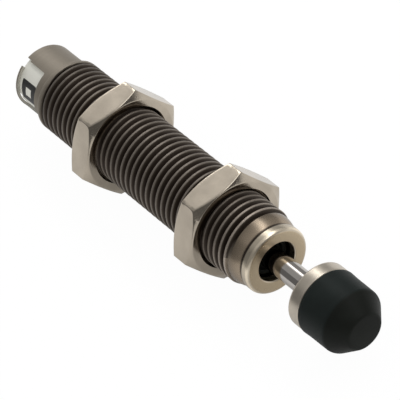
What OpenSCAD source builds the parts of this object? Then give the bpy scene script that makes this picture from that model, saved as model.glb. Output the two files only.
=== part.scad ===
// Adjustable industrial shock absorber with a threaded body and two lock nuts.
// The axis is X. x = 0 is the centre of the rear end and +X points to the bumper.
// Profiles are lists of [x, radius] points. Angles turn about +X from +Y, so 90 is up.
// All lengths are millimetres.

/* [Body tube] */
// Outside diameter of the mounting thread
thread_d = 14; // [13:0.1:15]
// Length of the threaded stretch
thread_len = 55.65; // [53:0.05:75]
// Radial wall between the chamber and the crest of the thread
body_wall = 2; // [1.6:0.05:2.2]
// Chamfer at each end of the thread
thread_chamfer = 0.8; // [0.4:0.05:1]
// Distance between neighbouring crests of the thread
thread_pitch = 1.4625; // [1.25:0.0125:2]
// Depth of the thread below its crests
thread_depth = 0.9; // [0.6:0.02:0.95]
// Width of the flat on each crest
thread_crest_w = 0.4; // [0.2:0.02:0.5]
// Width of the flat in each root
thread_root_w = 0.25; // [0.1:0.01:0.35]
// Radial step from the thread down to the rear sleeve
sleeve_step = 0.82; // [0.5:0.02:0.95]
// Length of the plain rear sleeve
sleeve_len = 7.35; // [7:0.05:9.5]
// Wall of the rear sleeve around the dial
sleeve_wall = 0.5; // [0.35:0.05:0.7]
// Radial step from the thread down to the front neck
neck_step = 0.35; // [0.2:0.05:0.6]
// Length of the plain front neck
neck_len = 3.05; // [2.8:0.05:6]
// Radius of the neck's crowned shoulder
neck_round = 4; // [3:0.1:5]
// Radial fall of the shoulder towards the collar
neck_fall = 0.8; // [0.4:0.05:0.9]
// Length of the straight seat between the shoulder and the collar
neck_seat = 0.3; // [0.2:0.05:0.6]

/* [Rear window] */
// Width of the rim behind the window
rim_w = 0.5; // [0.4:0.02:0.9]
// Length of the window along the axis
window_len = 5.4; // [3:0.05:5.55]
// Angle at which the window begins
window_from = 105; // [60:1:120]
// Angle at which the window ends
window_to = 195; // [160:1:260]
// Angle at which the notch in the rim begins
notch_from = 102; // [60:1:120]
// Angle at which the notch ends
notch_to = 119; // [110:1:160]

/* [Lock nuts] */
// Width across the flats
nut_af = 18; // [17:0.1:20]
// Thickness of each nut
nut_t = 5; // [4:0.1:7]
// Distance from a flat in to the chamfer's edge on the nut's face
nut_face_inset = 0.5; // [0.1:0.05:0.6]
// Angle of the outer chamfer from the face
nut_chamfer_angle = 30; // [15:1:35]
// Radial width of the countersink at each face
nut_sink = 0.5; // [0.2:0.05:0.8]
// Distance from the thread's rear end to the rear nut
rear_nut_set = 14.55; // [12.5:0.05:20]
// Distance from the front nut to the thread's front end
front_nut_set = 6.3; // [5:0.1:12]

/* [Stop collar and seals] */
// Thickness of the stop collar ahead of the body
collar_t = 1.9; // [1.5:0.05:4]
// Radial step from the thread down to the collar
collar_step = 0.79; // [0.3:0.01:1]
// Radius of the collar's rounded front edge
collar_round = 0.7; // [0.3:0.05:0.9]
// Radius of the collar's rear edge, which leaves a groove against the neck
collar_edge = 0.3; // [0.1:0.05:0.4]
// Wall of the collar around its recess
collar_wall = 1.28; // [1:0.02:1.6]
// Depth of the recess, from the collar's front face to the wiper
recess_depth = 2.2; // [1.5:0.1:3]
// Width of the wiper
wiper_w = 1.6; // [1:0.1:2]
// Thickness of the collar's lip behind the wiper
lip_t = 1.4; // [1:0.1:2]
// Wall between the rod seal and the O-ring's groove
seal_wall = 0.28; // [0.2:0.02:0.5]
// Width of the rod seal
seal_w = 2.2; // [1.6:0.1:2.6]
// Section of the body's O-ring
ring_section = 0.9; // [0.7:0.05:1]

/* [Rod bearing and accumulator] */
// Length of the bearing's front flange
flange_len = 4.2; // [4:0.1:6]
// Length of the foam sleeve's space
foam_len = 7.2; // [5:0.1:9]
// Wall of the bearing inside the foam sleeve
bearing_wall = 0.96; // [0.6:0.02:1.2]
// Thickness of the bearing's rear flange
rear_flange_t = 1.6; // [1:0.1:3]
// Length of the spigots that the inner tube sits on
spigot_len = 1.1; // [0.8:0.1:2]
// Radius of the oil passages past the tube's ends
passage_r = 0.45; // [0.3:0.05:0.55]

/* [Rod and bumper] */
// Travel of the rod
stroke = 10; // [8:0.1:12]
// Gap left between the collar and the holder at full travel
stroke_reserve = 0.15; // [0.1:0.05:1]
// Diameter of the piston rod
rod_d = 4; // [3.4:0.1:4.4]
// Diameter of the rod's spigots under its two shoulders
rod_spigot_d = 2.6; // [2:0.1:2.8]
// Diameter of the bumper's holder
holder_d = 11.9; // [10:0.1:13]
// Thickness of the holder's disc
holder_t = 2.6; // [1.5:0.1:4]
// Radius of the holder's rounded rear edge
holder_round = 0.5; // [0.2:0.05:0.7]
// Chamfer of the holder's front edge
holder_chamfer = 0.12; // [0.1:0.02:0.4]
// Diameter of the stem that the bumper snaps over
stem_d = 6; // [5:0.1:6.8]
// Length of the stem
stem_len = 1.8; // [1.2:0.1:2.4]
// Diameter of the stem's head
head_d = 7.6; // [7.2:0.1:8.4]
// Thickness of the stem's head
head_t = 1.4; // [1:0.1:2]
// Diameter of the bumper
bumper_d = 11.9; // [10.5:0.1:13]
// Length of the bumper's straight side
bumper_side = 6.4; // [5.3:0.1:9]
// Length of the bumper's cone
bumper_cone = 3.3; // [2:0.1:4]
// Diameter of the bumper's flat tip
tip_d = 6.6; // [4:0.1:8]
// Radius of the edge at the bumper's base
bumper_edge = 0.4; // [0.2:0.05:0.6]
// Radial flare of the bumper at its base
bumper_flare = 0.08; // [0.02:0.02:0.2]

/* [Piston and inner tube] */
// Width of the oil space around the inner tube
annulus_w = 0.7; // [0.6:0.05:0.9]
// Wall of the inner tube
tube_wall = 0.8; // [0.6:0.05:0.9]
// Length of the piston
piston_len = 5; // [4.4:0.1:6]
// Width of the piston's ring groove
groove_w = 1.6; // [1.4:0.05:1.9]
// Axial float of the check ring in its groove
ring_float = 0.4; // [0.2:0.05:0.6]
// Depth of the groove
groove_depth = 0.86; // [0.7:0.02:1]
// Depth of the recess for the piston's clip
clip_recess = 1; // [0.8:0.05:1.4]
// Height of the piston's clip above the rod's spigot
clip_height = 0.8; // [0.5:0.05:0.85]
// Thickness of the piston's clip
clip_t = 0.4; // [0.3:0.05:0.5]
// Number of metering orifices that the piston closes in turn
orifices = 5; // [3:1:6]
// Diameter of each metering orifice
orifice_d = 0.5; // [0.3:0.05:0.6]

/* [Return spring] */
// Wire of the return spring
spring_wire = 0.8; // [0.6:0.05:0.85]
// Number of turns, with the closed ones
spring_turns = 13; // [9:1:14]

/* [Adjuster] */
// Depth of the pocket that holds the dial
pocket_depth = 6.6; // [6.2:0.1:7]
// Thickness of the wall between the dial and the chamber
partition_t = 4.8; // [4.5:0.1:7]
// Diameter of the adjuster's spindle
spindle_d = 3; // [2.6:0.1:3.4]
// Depth of the gland that holds the spindle's O-ring
gland_depth = 0.7; // [0.6:0.05:0.9]
// Width of that gland
gland_w = 1.1; // [0.9:0.05:1.3]
// Thickness of the valve disc
valve_t = 1.2; // [1:0.05:1.6]
// Thickness of the inner tube's seat
seat_t = 1.6; // [1.2:0.1:2.4]
// Width of the rim that carries the seat
seat_rim = 0.8; // [0.6:0.05:1]
// Width of the driver slot in the dial
slot_w = 1.1; // [0.8:0.1:1.4]
// Depth of the driver slot
slot_depth = 0.8; // [0.5:0.1:1]
// Depth of the dial screw's seat
screw_seat = 1.2; // [1.1:0.1:1.6]
// Number of positions that the dial clicks into
dial_steps = 5; // [3:1:6]
// Angle between two clicks of the dial
click_angle = 60; // [30:5:60]
// Radius of the detent ball
ball_r = 0.6; // [0.5:0.02:0.64]
// Distance from the dial's rim in to the ball's track
track_inset = 1.98; // [1.6:0.02:2.1]

/* [Clearances] */
// Radial clearance between pieces that stay put
seat_gap = 0.02; // [0.01:0.005:0.04]
// Radial clearance of pieces that slide or turn
run_gap = 0.04; // [0.02:0.005:0.08]
// Gap between the dial and the sleeve around it
dial_gap = 0.1; // [0.05:0.01:0.2]

/* [Hidden] */
sides = 96;
round_steps = 6;
eps = 0.01;

// Radii of the body
thread_r = thread_d / 2;
sleeve_r = thread_r - sleeve_step;
neck_r = thread_r - neck_step;
chamber_r = thread_r - body_wall;
pocket_r = sleeve_r - sleeve_wall;
collar_r = thread_r - collar_step;
recess_r = chamber_r - seat_gap - collar_wall;
seal_r = chamber_r - seat_gap - ring_section - seal_wall;

// Stations along the body, from the rear
thread_start_x = sleeve_len;
thread_end_x = thread_start_x + thread_len;
body_end_x = thread_end_x + neck_len;
chamber_floor_x = pocket_depth + partition_t;
thread_root_r = thread_r - thread_depth;
first_crest_x = thread_start_x + thread_chamfer + thread_crest_w / 2;
last_crest_x = thread_end_x - thread_chamfer - thread_crest_w / 2;
thread_grooves = floor((last_crest_x - first_crest_x) / thread_pitch);
rear_nut_x = thread_start_x + rear_nut_set;
front_nut_x = thread_end_x - front_nut_set - nut_t;

// Front stack, from the collar's face back to the inner tube
collar_front_x = body_end_x + collar_t;
wiper_front_x = collar_front_x - recess_depth;
wiper_back_x = wiper_front_x - wiper_w;
collar_back_x = wiper_back_x - lip_t;
flange_back_x = collar_back_x - flange_len;
foam_back_x = flange_back_x - foam_len;
tube_front_x = foam_back_x - rear_flange_t;
bearing_back_x = tube_front_x - spigot_len;
o_ring_x = collar_back_x - seal_w - seat_gap - ring_section;

// Adjuster stack, from the chamber's floor forward
valve_gap = 0.05;
valve_back_x = chamber_floor_x + valve_gap;
valve_front_x = valve_back_x + valve_t;
seat_back_x = valve_front_x + valve_gap;
tube_back_x = seat_back_x + seat_t;
seat_front_x = tube_back_x + spigot_len;

// Rod, bumper and piston
rod_r = rod_d / 2;
rod_spigot_r = rod_spigot_d / 2;
holder_back_x = collar_front_x + stroke + stroke_reserve;
holder_front_x = holder_back_x + holder_t;
head_back_x = holder_front_x + stem_len;
head_front_x = head_back_x + head_t;
rod_front_x = head_back_x;
head_chamfer = 0.5;
stop_gap = 0.05;
piston_front_x = bearing_back_x - stop_gap;
piston_back_x = piston_front_x - piston_len;
rod_back_x = piston_back_x + 0.1;
clip_front_x = piston_back_x + clip_recess;
clip_r = rod_spigot_r + clip_height;
bearing_neck_r = rod_r + run_gap + bearing_wall;
tube_outer_r = chamber_r - annulus_w;
tube_inner_r = tube_outer_r - tube_wall;
piston_r = tube_inner_r - run_gap;
groove_r = piston_r - groove_depth;
groove_back_x = piston_back_x + (piston_len - groove_w) * 0.6;
ring_back_x = groove_back_x + seat_gap;
ring_w = groove_w - ring_float - 2 * seat_gap;
spring_r = piston_r - spring_wire / 2 - 0.3;

// Adjuster
spindle_r = spindle_d / 2;
dial_r = pocket_r - dial_gap;
dial_front_x = pocket_depth - 0.2;
hub_back_x = screw_seat + 1;
valve_r = chamber_r - seat_rim - 0.3;
port_r = (spindle_r + valve_r) / 2;
gland_r = spindle_r + gland_depth;
ball_track_r = dial_r - track_inset;
screw_r = spindle_r / 2;
screw_head_r = spindle_r;
screw_head_t = 0.9;
screw_len = 3;
valve_holes = 9;
valve_hole_step = 20;
track_depth = 0.3;
ball_x = dial_front_x - track_depth + 0.1 + ball_r;
ball_hole_end_x = chamber_floor_x - 1.1;
ball_angle = 0;
detent_wire = 0.22;
detent_turns = 6;

// Points of an arc in a profile, from angle a0 to a1, about the point [x, r]
function arc(x, r, radius, a0, a1) = [
    for (i = [0:round_steps])
        let (a = a0 + (a1 - a0) * i / round_steps)
        [x + radius * cos(a), r + radius * sin(a)]
];

// A solid of revolution about the X axis from [x, radius] points
module turned(profile) {
    rotate([0, 90, 0])
        rotate_extrude($fn = sides)
            polygon([for (p = profile) [p[1], p[0]]]);
}

// Part of such a solid, between two angles
module turned_sector(profile, from, to) {
    rotate([from + 90, 0, 0])
        rotate([0, 90, 0])
            rotate_extrude(angle = to - from, $fn = sides)
                polygon([for (p = profile) [p[1], p[0]]]);
}

// A plain ring about the X axis, a disc where inner is 0
module ring(x0, x1, inner, outer) {
    turned([[x0, inner], [x1, inner], [x1, outer], [x0, outer]]);
}

// A cylinder parallel to X, at a distance from the axis and an angle around it
module off_axis(x0, x1, distance, angle, radius) {
    rotate([angle, 0, 0])
        translate([x0, distance, 0])
            rotate([0, 90, 0])
                cylinder(h = x1 - x0, r = radius, $fn = 32);
}

// An O-ring of round section about the X axis
module o_ring(x, inner, section) {
    rotate([0, 90, 0])
        rotate_extrude($fn = sides)
            translate([inner + section / 2, x])
                circle(d = section, $fn = 32);
}

// Height of a coil's centre line: its first and last turns lie closed
function coil_height(turn, turns, wire, length) =
    let (closed = wire * 1.04)
    turn < 1 ? wire / 2 + turn * closed :
    turn > turns - 1 ? length - wire / 2 - (turns - turn) * closed :
    wire / 2 + closed + (turn - 1) * (length - wire - 2 * closed) / (turns - 2);

// One ring of points around the wire, where the coil has made the given turns
function wire_ring(turn, turns, mean_r, wire, length, facets) =
    let (a = 360 * turn, z = coil_height(turn, turns, wire, length))
    [
        for (k = [0:facets - 1])
            let (b = 360 * k / facets, out = mean_r + wire / 2 * cos(b))
            [out * cos(a), out * sin(a), z + wire / 2 * sin(b)]
    ];

// A compression spring along +X from x0
module coil_spring(x0, length, mean_r, wire, turns, per_turn, facets) {
    steps = turns * per_turn;
    points = [
        for (i = [0:steps])
            each wire_ring(i / per_turn, turns, mean_r, wire, length, facets)
    ];
    walls = [
        for (i = [0:steps - 1], k = [0:facets - 1])
            let (
                a = i * facets + k,
                b = i * facets + (k + 1) % facets,
                c = b + facets,
                d = a + facets
            )
            each [[a, b, c], [a, c, d]]
    ];
    first = [for (k = [facets - 1:-1:0]) k];
    last = [for (k = [0:facets - 1]) steps * facets + k];
    translate([x0, 0, 0])
        rotate([0, 90, 0])
            polyhedron(points = points, faces = concat(walls, [first, last]));
}

// Profile of the thread: a trapezoid groove between each two crests
function thread_grooves_profile() = [
    for (i = [0:thread_grooves - 1])
        let (
            root_x = first_crest_x + (i + 0.5) * thread_pitch,
            crest_reach = (thread_pitch - thread_crest_w) / 2,
            root_reach = thread_root_w / 2
        )
        each [
            [root_x - crest_reach, thread_r], [root_x - root_reach, thread_root_r],
            [root_x + root_reach, thread_root_r], [root_x + crest_reach, thread_r]
        ]
];

// Threaded tube with the dial's pocket behind and the oil chamber in front
module outer_body() {
    rear_edge = 0.25;
    shoulder_angle = acos(1 - neck_fall / neck_round);
    shoulder_x = body_end_x - neck_seat - neck_round * sin(shoulder_angle);
    color("#453c36")
    difference() {
        turned(concat(
            [[0, 0]],
            arc(rear_edge, sleeve_r - rear_edge, rear_edge, 180, 90),
            [[thread_start_x, sleeve_r], [thread_start_x + thread_chamfer, thread_r]],
            thread_grooves_profile(),
            [[thread_end_x - thread_chamfer, thread_r], [thread_end_x, neck_r]],
            arc(shoulder_x, neck_r - neck_round, neck_round, 90, 90 - shoulder_angle),
            [[body_end_x, neck_r - neck_fall], [body_end_x, 0]]
        ));
        ring(-eps, pocket_depth, 0, pocket_r);
        ring(chamber_floor_x, body_end_x + eps, 0, chamber_r);
        ring(0, body_end_x, 0, spindle_r + run_gap);
        spindle_gland();
        dial_window();
        off_axis(0, ball_hole_end_x, ball_track_r, ball_angle, ball_r + seat_gap);
    }
}

// Groove for the spindle's O-ring, in the wall ahead of the dial
module spindle_gland() {
    gland_x = chamber_floor_x - gland_w - 0.9;
    ring(gland_x, gland_x + gland_w, 0, gland_r);
}

// Window that shows the dial's scale, with its notch through the rear rim
module dial_window() {
    wall = [pocket_r - eps, sleeve_r + 1];
    window_end_x = rim_w + window_len;
    turned_sector(
        [[rim_w, wall[0]], [window_end_x, wall[0]], [window_end_x, wall[1]], [rim_w, wall[1]]],
        window_from, window_to
    );
    turned_sector(
        [[-eps, wall[0]], [rim_w + eps, wall[0]], [rim_w + eps, wall[1]], [-eps, wall[1]]],
        notch_from, notch_to
    );
}

// Hexagon nut with both outer edges chamfered and both bore edges countersunk
module lock_nut(x) {
    corner_r = nut_af / 2 / cos(30);
    face_r = nut_af / 2 - nut_face_inset;
    slope = tan(nut_chamfer_angle);
    reach = corner_r + 1;
    bore_r = thread_r + run_gap;
    sink_r = bore_r + nut_sink;
    translate([x, 0, 0])
    difference() {
        intersection() {
            rotate([30, 0, 0])
                rotate([0, 90, 0])
                    cylinder(h = nut_t, r = corner_r, $fn = 6);
            turned([
                [0, 0], [0, face_r],
                [(reach - face_r) * slope, reach],
                [nut_t - (reach - face_r) * slope, reach],
                [nut_t, face_r], [nut_t, 0]
            ]);
        }
        ring(-eps, nut_t + eps, 0, bore_r);
        turned([[-eps, 0], [-eps, sink_r], [sink_r - bore_r, bore_r], [sink_r - bore_r, 0]]);
        turned([
            [nut_t + eps, 0], [nut_t + eps, sink_r],
            [nut_t - sink_r + bore_r, bore_r], [nut_t - sink_r + bore_r, 0]
        ]);
    }
}

module rear_nut() {
    color("#b0a598") lock_nut(rear_nut_x);
}

module front_nut() {
    color("#b0a598") lock_nut(front_nut_x);
}

// Collar that closes the body and stops the bumper's holder
module stop_collar() {
    color("#a8998a")
    difference() {
        union() {
            turned(concat(
                [[body_end_x, 0]],
                arc(body_end_x + collar_edge, collar_r - collar_edge, collar_edge, 180, 90),
                arc(collar_front_x - collar_round, collar_r - collar_round, collar_round, 90, 0),
                [[collar_front_x, 0]]
            ));
            ring(collar_back_x, body_end_x + eps, 0, chamber_r - seat_gap);
        }
        ring(wiper_back_x, collar_front_x + eps, 0, recess_r);
        ring(collar_back_x - eps, wiper_back_x + eps, 0, rod_r + 0.3);
        turned([
            [collar_front_x + eps, 0], [collar_front_x + eps, recess_r + 0.2],
            [collar_front_x - 0.2, recess_r], [collar_front_x - 0.2, 0]
        ]);
    }
}

// Wiper in the collar's recess, with its lip on the rod
module rod_wiper() {
    outer_r = recess_r - seat_gap;
    bore_r = rod_r + run_gap;
    color("#161616")
    turned([
        [wiper_back_x, bore_r + 0.3], [wiper_back_x, outer_r],
        [wiper_front_x - 0.2, outer_r], [wiper_front_x, outer_r - 0.2],
        [wiper_front_x - 0.1, outer_r - 0.9], [wiper_front_x - 0.6, bore_r + 0.7],
        [wiper_front_x - 0.05, bore_r + 0.12], [wiper_front_x - 0.05, bore_r],
        [wiper_front_x - 0.35, bore_r]
    ]);
}

// U-shaped seal, open towards the oil
module rod_seal() {
    outer_r = seal_r;
    bore_r = rod_r + run_gap;
    front_x = collar_back_x;
    back_x = front_x - seal_w;
    middle_r = (outer_r + bore_r) / 2;
    color("#202020")
    turned([
        [front_x, bore_r], [front_x, outer_r], [back_x, outer_r], [back_x, outer_r - 0.3],
        [back_x + seal_w * 0.55, middle_r + 0.15], [back_x + seal_w * 0.55, middle_r - 0.15],
        [back_x, bore_r + 0.3], [back_x, bore_r]
    ]);
}

// Bearing that guides the rod, carries the foam sleeve and closes the inner tube
module rod_bearing() {
    outer_r = chamber_r - seat_gap;
    color("#a9824c")
    difference() {
        union() {
            ring(flange_back_x, collar_back_x, 0, outer_r);
            ring(foam_back_x - eps, flange_back_x + eps, 0, bearing_neck_r);
            ring(tube_front_x, foam_back_x, 0, outer_r);
            ring(bearing_back_x, tube_front_x + eps, 0, tube_inner_r - seat_gap);
        }
        ring(bearing_back_x - eps, collar_back_x + eps, 0, rod_r + run_gap);
        ring(collar_back_x - seal_w, collar_back_x + eps, 0, seal_r + seat_gap);
        ring(o_ring_x - seat_gap, o_ring_x + ring_section + seat_gap,
            outer_r - ring_section, outer_r + 1);
        for (a = [0:90:270])
            off_axis(tube_front_x - eps, foam_back_x + eps, chamber_r - passage_r, a, passage_r);
    }
}

// O-ring between the bearing and the body
module bearing_o_ring() {
    section = ring_section - 2 * seat_gap;
    color("#1c1c1c")
        o_ring(o_ring_x + ring_section / 2, chamber_r - seat_gap - section, section);
}

// Closed-cell foam sleeve that takes the oil which the rod displaces
module accumulator_foam() {
    color("#3a3f48")
        ring(foam_back_x + 0.1, flange_back_x - 0.1,
            bearing_neck_r + seat_gap, chamber_r - 0.1);
}

// Pressure tube with its row of metering orifices
module inner_tube() {
    color("#9aa0a4")
    difference() {
        ring(tube_back_x, tube_front_x, tube_inner_r, tube_outer_r);
        for (i = [1:orifices])
            orifice(piston_back_x - stroke * (1 - pow((orifices - i) / orifices, 2)), orifice_d);
        orifice(tube_front_x - 0.9, orifice_d * 1.5);
    }
}

// One radial hole through the top of the inner tube
module orifice(x, diameter) {
    translate([x, 0, tube_inner_r - 1])
        cylinder(h = tube_wall + 2, d = diameter, $fn = 24);
}

// Seat of the inner tube, which stands on a notched rim over the valve disc
module tube_seat() {
    outer_r = chamber_r - seat_gap;
    color("#8d8f90")
    difference() {
        union() {
            ring(chamber_floor_x, tube_back_x, 0, outer_r);
            ring(tube_back_x - eps, seat_front_x, 0, tube_inner_r - seat_gap);
        }
        ring(chamber_floor_x - eps, seat_back_x, 0, outer_r - seat_rim);
        off_axis(chamber_floor_x, seat_front_x + eps, port_r, 90, passage_r);
        for (a = [0:90:270])
            off_axis(chamber_floor_x - eps, tube_back_x + eps,
                chamber_r - passage_r * 0.9, a, passage_r);
    }
}

// Spring that pushes the rod out again
module return_spring() {
    color("#7d8084")
        coil_spring(seat_front_x + 0.02, piston_back_x - seat_front_x - 0.04, spring_r,
            spring_wire, spring_turns, 16, 8);
}

// Ground rod with a spigot at each end
module piston_rod() {
    color("#d9dbdd")
    difference() {
        turned([
            [rod_back_x, 0], [rod_back_x, rod_spigot_r - 0.2], [rod_back_x + 0.2, rod_spigot_r],
            [piston_front_x, rod_spigot_r], [piston_front_x, rod_r], [holder_back_x, rod_r],
            [holder_back_x, rod_spigot_r], [rod_front_x - 0.2, rod_spigot_r],
            [rod_front_x, rod_spigot_r - 0.2], [rod_front_x, 0]
        ]);
        ring(clip_front_x - clip_t - seat_gap, clip_front_x, rod_spigot_r - 0.4, rod_spigot_r + 1);
    }
}

// Metal disc on the rod with the mushroom stem that the bumper snaps over
module bumper_holder() {
    outer_r = holder_d / 2;
    color("#a09284")
    difference() {
        turned(concat(
            [[holder_back_x, 0]],
            arc(holder_back_x + holder_round, outer_r - holder_round, holder_round, 180, 90),
            [[holder_front_x - holder_chamfer, outer_r], [holder_front_x, outer_r - holder_chamfer]],
            [[holder_front_x, stem_d / 2], [head_back_x, stem_d / 2]],
            [[head_back_x, head_d / 2], [head_front_x - head_chamfer, head_d / 2]],
            [[head_front_x, head_d / 2 - head_chamfer], [head_front_x, 0]]
        ));
        ring(holder_back_x - eps, rod_front_x + 0.1, 0, rod_spigot_r + seat_gap);
    }
}

// Urethane bumper that takes the blow
module bumper() {
    outer_r = bumper_d / 2;
    back_x = holder_front_x + seat_gap;
    shoulder_x = holder_front_x + bumper_side;
    tip_x = shoulder_x + bumper_cone;
    base_r = outer_r + bumper_flare;
    flare_len = 1.8;
    corner = 0.25;
    color("#1e2123")
    turned(concat(
        [[back_x, stem_d / 2 + run_gap]],
        arc(back_x + bumper_edge, base_r - bumper_edge, bumper_edge, 180, 90),
        [[back_x + flare_len, outer_r], [shoulder_x - corner, outer_r]],
        [[shoulder_x + corner / 2, outer_r - corner * 0.8]],
        [[tip_x - corner, tip_d / 2 + corner * 0.8], [tip_x, tip_d / 2 - corner], [tip_x, 0]],
        [[head_front_x + run_gap, 0]],
        [[head_front_x + run_gap, head_d / 2 - head_chamfer + run_gap]],
        [[head_front_x - head_chamfer, head_d / 2 + run_gap]],
        [[head_back_x - run_gap, head_d / 2 + run_gap]],
        [[head_back_x - run_gap, stem_d / 2 + run_gap]]
    ));
}

// Piston with the check ring's groove and four return flutes
module piston() {
    color("#8b7a52")
    difference() {
        turned([
            [piston_back_x, 0], [piston_back_x, piston_r - 0.15],
            [piston_back_x + 0.15, piston_r], [piston_front_x - 0.3, piston_r],
            [piston_front_x, piston_r - 0.3], [piston_front_x, 0]
        ]);
        ring(piston_back_x - eps, piston_front_x + eps, 0, rod_spigot_r + seat_gap);
        ring(piston_back_x - eps, clip_front_x, 0, clip_r + 0.1);
        ring(groove_back_x, groove_back_x + groove_w, groove_r, piston_r + 1);
        for (a = [0:90:270])
            off_axis(groove_back_x, piston_front_x + eps, piston_r, a, 0.35);
    }
}

// Clip that holds the piston on the rod
module piston_clip() {
    color("#55585a")
    difference() {
        ring(clip_front_x - clip_t, clip_front_x, rod_spigot_r - 0.4 + seat_gap, clip_r);
        translate([clip_front_x - clip_t - eps, -0.5, 0])
            cube([clip_t + 2 * eps, 1, 2 * clip_r]);
    }
}

// Split ring that floats in the piston's groove and works as the check valve
module check_ring() {
    color("#c9b26a")
    difference() {
        ring(ring_back_x, ring_back_x + ring_w, groove_r + 0.15, tube_inner_r - seat_gap);
        translate([ring_back_x - eps, -0.15, 0])
            cube([ring_w + 2 * eps, 0.3, chamber_r]);
    }
}

// Spindle that joins the dial to the slotted valve disc
module valve_spindle() {
    color("#b8babc")
    difference() {
        union() {
            ring(hub_back_x, valve_back_x + eps, 0, spindle_r);
            ring(valve_back_x, valve_front_x, 0, valve_r);
        }
        driving_flat(seat_gap);
        ring(hub_back_x - eps, hub_back_x + screw_len + 0.4, 0, screw_r + seat_gap);
        for (i = [0:valve_holes - 1])
            off_axis(valve_back_x - eps, valve_front_x + eps, port_r, 90 + i * valve_hole_step,
                passage_r * (1 + i / (valve_holes - 1)) / 2);
    }
}

// Flat on the spindle that turns it with the dial, moved in by a gap
module driving_flat(gap) {
    translate([hub_back_x - 1, -spindle_r, spindle_r * 0.62 - gap])
        cube([dial_front_x - hub_back_x + 1, spindle_d, spindle_r]);
}

// O-ring that seals the spindle
module spindle_o_ring() {
    section = gland_r - spindle_r - run_gap - seat_gap;
    color("#1c1c1c")
        o_ring(chamber_floor_x - gland_w / 2 - 0.9, spindle_r + run_gap, section);
}

// Dial whose band carries the scale that the window shows
module adjuster_dial() {
    color("#c6c4bd")
    difference() {
        turned([
            [0.05, 0], [0.05, dial_r - 0.25], [0.3, dial_r], [dial_front_x - 0.2, dial_r],
            [dial_front_x, dial_r - 0.2], [dial_front_x, 0]
        ]);
        translate([-1, -dial_r - 1, -slot_w / 2])
            cube([1.05 + slot_depth, 2 * dial_r + 2, slot_w]);
        ring(-1, screw_seat, 0, screw_head_r + 0.1);
        ring(0, hub_back_x + eps, 0, screw_r + run_gap);
        difference() {
            ring(hub_back_x, dial_front_x + 1, 0, spindle_r + seat_gap);
            driving_flat(0);
        }
        ring(dial_front_x - track_depth, dial_front_x + 1,
            ball_track_r - ball_r - 0.05, ball_track_r + ball_r + 0.05);
        for (i = [0:dial_steps - 1])
            rotate([ball_angle - i * click_angle, 0, 0])
                translate([ball_x - 0.15, ball_track_r, 0])
                    sphere(r = ball_r, $fn = 32);
    }
}

// Screw that holds the dial on its spindle
module dial_screw() {
    color("#6d6f70")
    difference() {
        union() {
            ring(screw_seat - screw_head_t, screw_seat, 0, screw_head_r);
            ring(screw_seat - eps, hub_back_x + screw_len, 0, screw_r);
        }
        translate([screw_seat - screw_head_t - 1, -0.25, -screw_head_r - 1])
            cube([1.4, 0.5, 2 * screw_head_r + 2]);
    }
}

// Ball that clicks into the dial
module detent_ball() {
    color("#d0d2d4")
        rotate([ball_angle, 0, 0])
            translate([ball_x, ball_track_r, 0])
                sphere(r = ball_r, $fn = 48);
}

// Spring behind the ball
module detent_spring() {
    start_x = ball_x + ball_r + seat_gap;
    color("#7d8084")
        rotate([ball_angle, 0, 0])
            translate([0, ball_track_r, 0])
                coil_spring(start_x, ball_hole_end_x - start_x - seat_gap,
                    ball_r - detent_wire / 2 - 0.04, detent_wire, detent_turns, 10, 6);
}

outer_body();
rear_nut();
front_nut();
stop_collar();
rod_wiper();
rod_seal();
rod_bearing();
bearing_o_ring();
accumulator_foam();
inner_tube();
tube_seat();
return_spring();
piston_rod();
bumper_holder();
bumper();
piston();
piston_clip();
check_ring();
valve_spindle();
spindle_o_ring();
adjuster_dial();
dial_screw();
detent_ball();
detent_spring();
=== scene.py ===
"""Looks of an adjustable industrial shock absorber, laid out as a Blender add-on.

The axis is X, from the rear end at x = 0 to the bumper's tip. Profiles are lists of
(x, radius) in millimetres, and every mesh is made in metres.
"""

import math
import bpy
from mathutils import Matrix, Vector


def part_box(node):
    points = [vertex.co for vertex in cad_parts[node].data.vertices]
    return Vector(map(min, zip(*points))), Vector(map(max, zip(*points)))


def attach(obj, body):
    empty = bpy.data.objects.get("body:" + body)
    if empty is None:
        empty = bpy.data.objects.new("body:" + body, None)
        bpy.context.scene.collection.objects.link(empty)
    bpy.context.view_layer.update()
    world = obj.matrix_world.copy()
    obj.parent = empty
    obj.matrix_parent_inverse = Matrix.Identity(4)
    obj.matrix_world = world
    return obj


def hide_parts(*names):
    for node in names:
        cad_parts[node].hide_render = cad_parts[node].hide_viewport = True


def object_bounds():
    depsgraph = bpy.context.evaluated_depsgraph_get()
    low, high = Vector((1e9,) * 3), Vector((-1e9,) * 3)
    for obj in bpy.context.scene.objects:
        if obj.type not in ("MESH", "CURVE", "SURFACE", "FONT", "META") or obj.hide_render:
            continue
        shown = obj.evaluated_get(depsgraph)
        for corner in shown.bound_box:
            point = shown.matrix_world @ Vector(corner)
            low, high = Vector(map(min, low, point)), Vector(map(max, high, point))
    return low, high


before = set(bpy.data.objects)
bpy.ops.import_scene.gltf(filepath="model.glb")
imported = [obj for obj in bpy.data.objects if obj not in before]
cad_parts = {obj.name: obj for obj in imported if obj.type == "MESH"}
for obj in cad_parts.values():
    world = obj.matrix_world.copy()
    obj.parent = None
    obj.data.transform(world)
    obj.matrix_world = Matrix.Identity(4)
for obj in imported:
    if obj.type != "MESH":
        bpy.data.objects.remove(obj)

from types import SimpleNamespace

import bmesh
import bpy
from bpy.props import FloatProperty, FloatVectorProperty, IntProperty, PointerProperty
from mathutils import Matrix, Vector

bl_info = {
    "name": "Shock Absorber",
    "version": (1, 0, 0),
    "blender": (4, 5, 0),
    "location": "View3D > Sidebar > Absorber",
    "description": "Builds the threaded body, nuts, rod, bumper and dial of a shock absorber",
    "category": "Object",
}

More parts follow.
